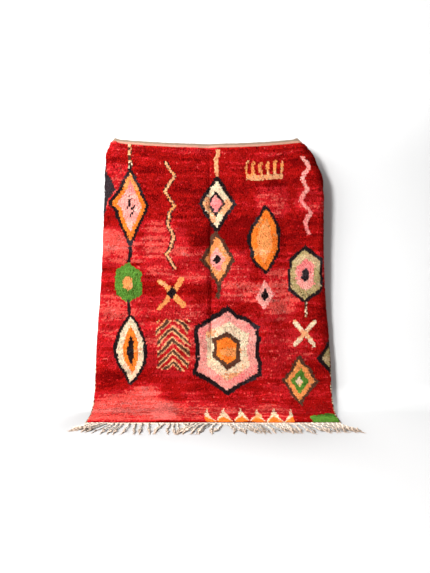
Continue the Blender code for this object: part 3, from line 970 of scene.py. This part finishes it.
def tipBends(share, path):
    # past the knot a strand leaves its path sideways, by the square of an S curve
    curl = np.random.default_rng(83).uniform(-fringe["tipCurl"], fringe["tipCurl"], len(path))
    aside = besides(path[:, -1] - path[:, -2])
    return (curl[:, None] * ease(share, *fringe["tipCurlRun"]) ** 2)[..., None] * aside[:, None]


def fringeStrands():
    # two round plies wound about each strand's path, with a bell-shaped swelling at the knot
    share = np.linspace(0, 1, fringe["rings"])
    path, length, crowding = strandPaths(share)
    under = (np.arange(len(path)) % 2 * ease(crowding, *fringe["crowded"]))[:, None]
    slim = (1 + fringe["crowdSwell"] * (crowding - 1.0))[:, None] * (1 - fringe["underSlim"] * under)
    aside = besides(np.gradient(path, axis=1))
    up = np.array([0.0, 0.0, 1.0])
    path = path + tipBends(share, path)
    # waves along the strand, from nothing at its root
    phase = np.random.default_rng(84).uniform(0, 2 * np.pi, (2, len(path), 1))
    run = 2 * np.pi * share * length[:, None]
    wavy = np.sin(run / fringe["waveLong"] + phase[0])
    wavy = wavy + fringe["shortShare"] * np.sin(run / fringe["waveShort"] + phase[1])
    grown = ease(share, 0.0, fringe["waveGrown"])
    path = path + (fringe["waveRise"] * grown * wavy)[..., None] * aside
    draw = np.random.default_rng(81)
    raised = draw.uniform(0, fringe["lift"], (len(path), 1)) * (1 - under)
    raised = raised * np.sin(np.pi * share.clip(0, fringe["liftEnds"]) / fringe["liftEnds"])
    uneven = 1 + softNoise(share * length[:, None], path[..., 0], 0.030, 0.020, 82)
    raised = raised + fringe["floorRise"] * uneven
    knot = np.exp(-((share - fringe["knotShare"]) / fringe["knotLength"]) ** 2)
    tail = 1 - fringe["tailSlim"] * ease(share, fringe["tailFrom"], 1.0)
    turn = 2 * np.pi * length[:, None] * share / fringe["plyTurn"]
    around = np.linspace(0, 2 * np.pi, fringe["sides"], endpoint=False)
    points, colours = [], []
    shade = draw.normal(*fringe["shadeSpread"], len(path)).clip(*fringe["shadeLimits"])
    # painted shade: the under strands are darkened
    shade = shade * (1 - fringe["underShade"] * under[:, 0])
    ply = fringe["plyRadius"] * slim * tail * (1 + fringe["knotSwell"] * knot)
    spread = fringe["plyRadius"] * slim * tail * (fringe["plyApart"] + fringe["knotSwell"] * knot)
    middle = (fringe["flatten"] * spread + ply) * fringe["sink"]
    paleYarn, greyYarn = linear(fringe["colour"]), linear(fringe["tipColour"])
    tones = paleYarn + (greyYarn - paleYarn) * ease(share, fringe["greyFrom"], 1.0)[:, None]
    base, ofDepth, ofFold = fringe["grooveShares"]
    for phase, plyShade in zip((0.0, np.pi), fringe["plyShades"]):
        across = spread * np.cos(turn + phase)
        rise = raised + middle + fringe["flatten"] * spread * np.sin(turn + phase)
        centre = path + across[..., None] * aside + rise[..., None] * up
        ring = centre[:, :, None] + ply[:, :, None, None] * (
            np.cos(around)[:, None] * aside[:, :, None] + np.sin(around)[:, None] * up)
        ring[..., 2] = np.maximum(ring[..., 2], 0.0)
        points.append(ring)
        tone = tones[None, :, None] * plyShade * shade[:, None, None, None]
        tone = tone * np.ones((*ring.shape[:3], 1))
        # painted shade: a ply is darker low down and where it folds against the other ply
        depth = (ring[..., 2] - (raised + middle)[..., None]) / fringe["grooveDepth"]
        fold = np.cos(around - (turn + phase)[..., None])
        groove = (base + ofDepth * depth + ofFold * fold).clip(0, 1)
        colours.append(np.concatenate([tone.clip(0, brightest), groove[..., None]], axis=-1))
    points, colours = np.stack(points, axis=1), np.stack(colours, axis=1)
    strands, plies, rings, sides = points.shape[:4]
    faces = tubeFaces(strands * plies, rings, sides)
    # each ply has a column of its own on the bake map
    room = fringe["mapRoom"]
    cell = np.arange(strands * plies)[:, None, None] + room + (1 - 2 * room) * np.arange(sides) / sides
    flat = np.stack(np.broadcast_arrays(cell / (strands * plies), share[:, None]), axis=-1)
    return meshObject("fringe_strands", points, faces, fringeMaterial, colours, None, flat)


# The loose yarn ends past a strand's knot
tassel = {
    "ends": 6,
    "steps": 6,
    "sides": 3,
    "from": 0.97,
    "reach": (0.010, 0.020),
    "overlap": 0.15,
    "bendSpread": 0.0075,
    "bendPower": 1.5,
    "startHalf": 0.0016,
    "radius": 0.0011,
    "taper": 0.75,
    "rise": 0.0014,
    "riseSpread": 0.0022,
    "shadeSpread": 0.10,
}


def fringeTassels():
    # thin yarn ends that spread from the tip of every strand, each a three-sided taper
    draw = np.random.default_rng(91)
    share = np.array([tassel["from"], 1.0])
    path = strandPaths(share)[0]
    path = path + tipBends(share, path)
    tip, heading = path[:, 1], path[:, 1] - path[:, 0]
    heading /= np.linalg.norm(heading, axis=-1, keepdims=True)
    aside = besides(heading)
    ends, steps, sides = tassel["ends"], tassel["steps"], tassel["sides"]
    t = np.linspace(0, 1, steps)
    reach = draw.uniform(*tassel["reach"], (len(tip), ends))[..., None] * (t - tassel["overlap"])
    bend = draw.normal(0, tassel["bendSpread"], (len(tip), ends))[..., None] * t ** tassel["bendPower"]
    start = np.linspace(-tassel["startHalf"], tassel["startHalf"], ends)[:, None]
    centre = tip[:, None, None] + reach[..., None] * heading[:, None, None]
    centre = centre + (start + bend)[..., None] * aside[:, None, None]
    drop = draw.uniform(0, tassel["riseSpread"], (len(tip), ends))[..., None] * (1 - t)
    centre[..., 2] += tassel["rise"] + drop
    radius = tassel["radius"] * (1 - tassel["taper"] * t)[:, None, None]
    around = np.linspace(0, 2 * np.pi, sides, endpoint=False)[:, None]
    ring = centre[..., None, :] + radius * (
        np.cos(around) * aside[:, None, None, None] + np.sin(around) * np.array([0.0, 0.0, 1.0]))
    ring[..., 2] = np.maximum(ring[..., 2], 0.0)
    shade = draw.normal(1, tassel["shadeSpread"], (len(tip), ends, 1, 1, 1))
    colours = np.ones((*ring.shape[:-1], 4))
    colours[..., :3] = (linear(fringe["tipColour"]) * shade).clip(0, brightest)
    faces = tubeFaces(len(tip) * ends, steps, sides)
    return meshObject("fringe_tips", ring, faces, fringeMaterial, colours)


# The woven strip at the fringe's root
strip = {
    "columns": 560,
    # share of the strip's depth forwards, height
    "profile": ((0.0, 0.0006), (0.0, 0.0060), (0.25, 0.0072), (0.5, 0.0070), (0.75, 0.0062),
                (0.95, 0.0048), (1.0, 0.0028), (0.95, 0.0006)),
    "backRoom": 0.002,
    "wander": ((0.0028, 0, 0.035, 1, 55), (0.0012, 0, 0.008, 1, 56)),  # noise rows
    "ribPitch": 0.0055,
    "ribRise": 0.16,
    "grooveHeight": 0.86,
    "ribsAbove": 0.004,
    "grooveShade": 0.80,
    "mottle": ((0.06, 0, 0.008, 0.002, 57),),
}


def fringeStrip():
    # a flat woven strip: up, forward and down, closed at both ends, with a rib at every warp pair
    u = np.linspace(-cloth["width"] / 2, cloth["width"] / 2, strip["columns"])
    forward, height = np.array(strip["profile"]).T
    wander = withNoise(0, u, u * 0, strip["wander"])
    y = clothEndY - fringe["rootGap"] - forward * (fringe["rootDepth"] - strip["backRoom"])
    y = y + wander[:, None] * forward
    rib = np.abs(np.sin(np.pi * u / strip["ribPitch"]))[:, None]
    z = height * (strip["grooveHeight"] + strip["ribRise"] * rib * (height > strip["ribsAbove"]))
    points = np.stack(np.broadcast_arrays(u[:, None], y, z), axis=-1) + place
    # painted shade: darker in the grooves between the warp ribs, with an uneven mottle added
    shade = strip["grooveShade"] + (1 - strip["grooveShade"]) * rib
    shade = withNoise(shade, u[:, None], y, strip["mottle"])
    colours = linear(fringe["stripColour"]) * shade[..., None]
    faces = tubeFaces(1, len(u), len(forward))
    return meshObject("fringe_strip", points, faces, bandMaterial, colours.clip(0, brightest))


strandsMade = fringeStrands()
tipsMade = fringeTassels()
stripMade = fringeStrip()
print("fringe")

allPieces = [*pilePiecesMade, groundMade, bandBack, bandFront, edgeRight, edgeLeft,
             strandsMade, tipsMade, stripMade]
for piece in allPieces:
    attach(piece, "root")
for piece in (*pilePiecesMade, groundMade, edgeRight, edgeLeft):
    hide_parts("rug")
for piece in (bandBack, bandFront):
    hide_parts("heading_band")
for piece in (strandsMade, tipsMade, stripMade):
    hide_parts("bottom_fringe")


# A pale floor, and a plain backdrop that leans a little more than the rug and sweeps to the floor
stage = {
    "floorDrop": 0.0004,
    "halfWidth": 6.0,
    "frontReach": 6.0,
    "wallGap": 0.045,
    "lean": math.radians(8.3),
    "wallHeight": 5.0,
    "sweepRadius": 0.17,
    "sweepSteps": 24,
    # height, grey
    "greys": ((0.0, 0.450), (0.11, 0.64), (0.60, 0.615), (1.60, 0.555), (2.20, 0.640)),
}


def stageMaterial(name, seeThroughBack):
    # matte paper, whose grey goes smoothly with height through the stage's greys
    material, shader, add, link = shaderNodes(name, 0.9)
    place = add("TexCoord")
    axes = add("SeparateXYZ")
    link(place.outputs["Object"], axes.inputs[0])
    lowest, *between, highest = stage["greys"]
    share = add("Math", {"operation": "DIVIDE"}, {1: highest[0]})
    link(axes.outputs["Z"], share.inputs[0])
    ramp = add("ValToRGB")
    ramp.color_ramp.interpolation = "EASE"
    stops = ramp.color_ramp.elements
    stops[0].color = (lowest[1], lowest[1], lowest[1], 1.0)
    stops[1].color = (highest[1], highest[1], highest[1], 1.0)
    for height, grey in between:
        stops.new(height / highest[0]).color = (grey, grey, grey, 1.0)
    link(share.outputs[0], ramp.inputs[0])
    link(ramp.outputs["Color"], shader.inputs["Base Color"])
    if seeThroughBack:
        side = add("NewGeometry")
        clear = add("BsdfTransparent")
        mix = add("MixShader")
        link(side.outputs["Backfacing"], mix.inputs[0])
        link(shader.outputs[0], mix.inputs[1])
        link(clear.outputs[0], mix.inputs[2])
        output = material.node_tree.nodes["Material Output"]
        link(mix.outputs[0], output.inputs["Surface"])
    return material


def stageSheet(name, profile, material):
    # the profile's (y, z) points drawn out sideways, seen from its front
    profile = np.array(profile, float)
    across = np.array([-stage["halfWidth"], stage["halfWidth"]])
    points = np.empty((len(profile), 2, 3))
    points[..., 0] = across
    points[..., 1:] = profile[:, None]
    made = meshObject(name, points, [gridFaces(len(profile), 2)], material)
    return made


# the sweep: level, an arc of sweepRadius up to the lean, then a straight line that passes
# wallGap behind the rug at its top
wallTop = float(cadBox[1][1]) + stage["wallGap"]
lean, radius = stage["lean"], stage["sweepRadius"]
floorZ = -stage["floorDrop"]
climb = np.linspace(0.0, math.pi / 2 - lean, stage["sweepSteps"])
arcEnd = (radius * math.cos(lean), radius * (1 - math.sin(lean)))
foot = wallTop - (cloth["topHeight"] - arcEnd[1]) * math.tan(lean) - arcEnd[0]
sweep = [(foot + radius * math.sin(a), floorZ + radius * (1 - math.cos(a))) for a in climb]
sweep.append((sweep[-1][0] + stage["wallHeight"] * math.sin(lean), sweep[-1][1] + stage["wallHeight"]))
stageSheet("floor", [(-stage["frontReach"], floorZ), (stage["halfWidth"], floorZ)],
           stageMaterial("paleFloor", False))
wallPlane = stageSheet("backdrop", sweep, stageMaterial("paleWall", True))
wallPlane.visible_shadow = False
wallPlane.visible_diffuse = False
wallPlane.visible_glossy = False

# Studio light: two keys and a top lamp from the left, a weak fill, and two lamps from behind.
# Each row: name, azimuth from the front, elevation, distance, size, power
aimPoint = np.array([0.0, 0.1, 0.85])
lights = (
    ("key", -31.0, 22.0, 5.5, 1.0, 480.0),
    ("broadKey", -60.0, 25.0, 4.5, 2.6, 190.0),
    ("fill", 35.0, 30.0, 5.0, 3.0, 4.0),
    ("top", -52.0, 60.0, 4.0, 2.6, 90.0),
    ("overhead", 160.0, 68.0, 4.5, 1.6, 270.0),
    ("back", 168.0, 35.0, 4.2, 2.4, 45.0),
)
for name, azimuth, elevation, distance, size, power in lights:
    lamp = bpy.data.lights.new(name, "AREA")
    lamp.size, lamp.energy = size, power
    turn, rise = math.radians(azimuth), math.radians(elevation)
    flat = math.cos(rise)
    toward = np.array([flat * math.sin(turn), -flat * math.cos(turn), math.sin(rise)])
    lampObject = bpy.data.objects.new(name, lamp)
    lampObject.location = aimPoint + toward * distance
    lampObject.rotation_euler = (math.pi / 2 - rise, 0, turn)
    bpy.context.scene.collection.objects.link(lampObject)

# the surroundings give little light, and are seen as pale as the floor
surroundings = {"light": 0.07, "seen": 0.80}
world = bpy.data.worlds.new("studio")
world.use_nodes = True
background = world.node_tree.nodes["Background"]
rays = world.node_tree.nodes.new("ShaderNodeLightPath")
strength = world.node_tree.nodes.new("ShaderNodeMapRange")
strength.inputs["To Min"].default_value = surroundings["light"]
strength.inputs["To Max"].default_value = surroundings["seen"]
world.node_tree.links.new(rays.outputs["Is Camera Ray"], strength.inputs["Value"])
world.node_tree.links.new(strength.outputs["Result"], background.inputs["Strength"])
background.inputs["Color"].default_value = (1.0, 1.0, 1.0, 1.0)
bpy.context.scene.world = world
bpy.context.scene.view_settings.view_transform = "Standard"
print("stage and light")
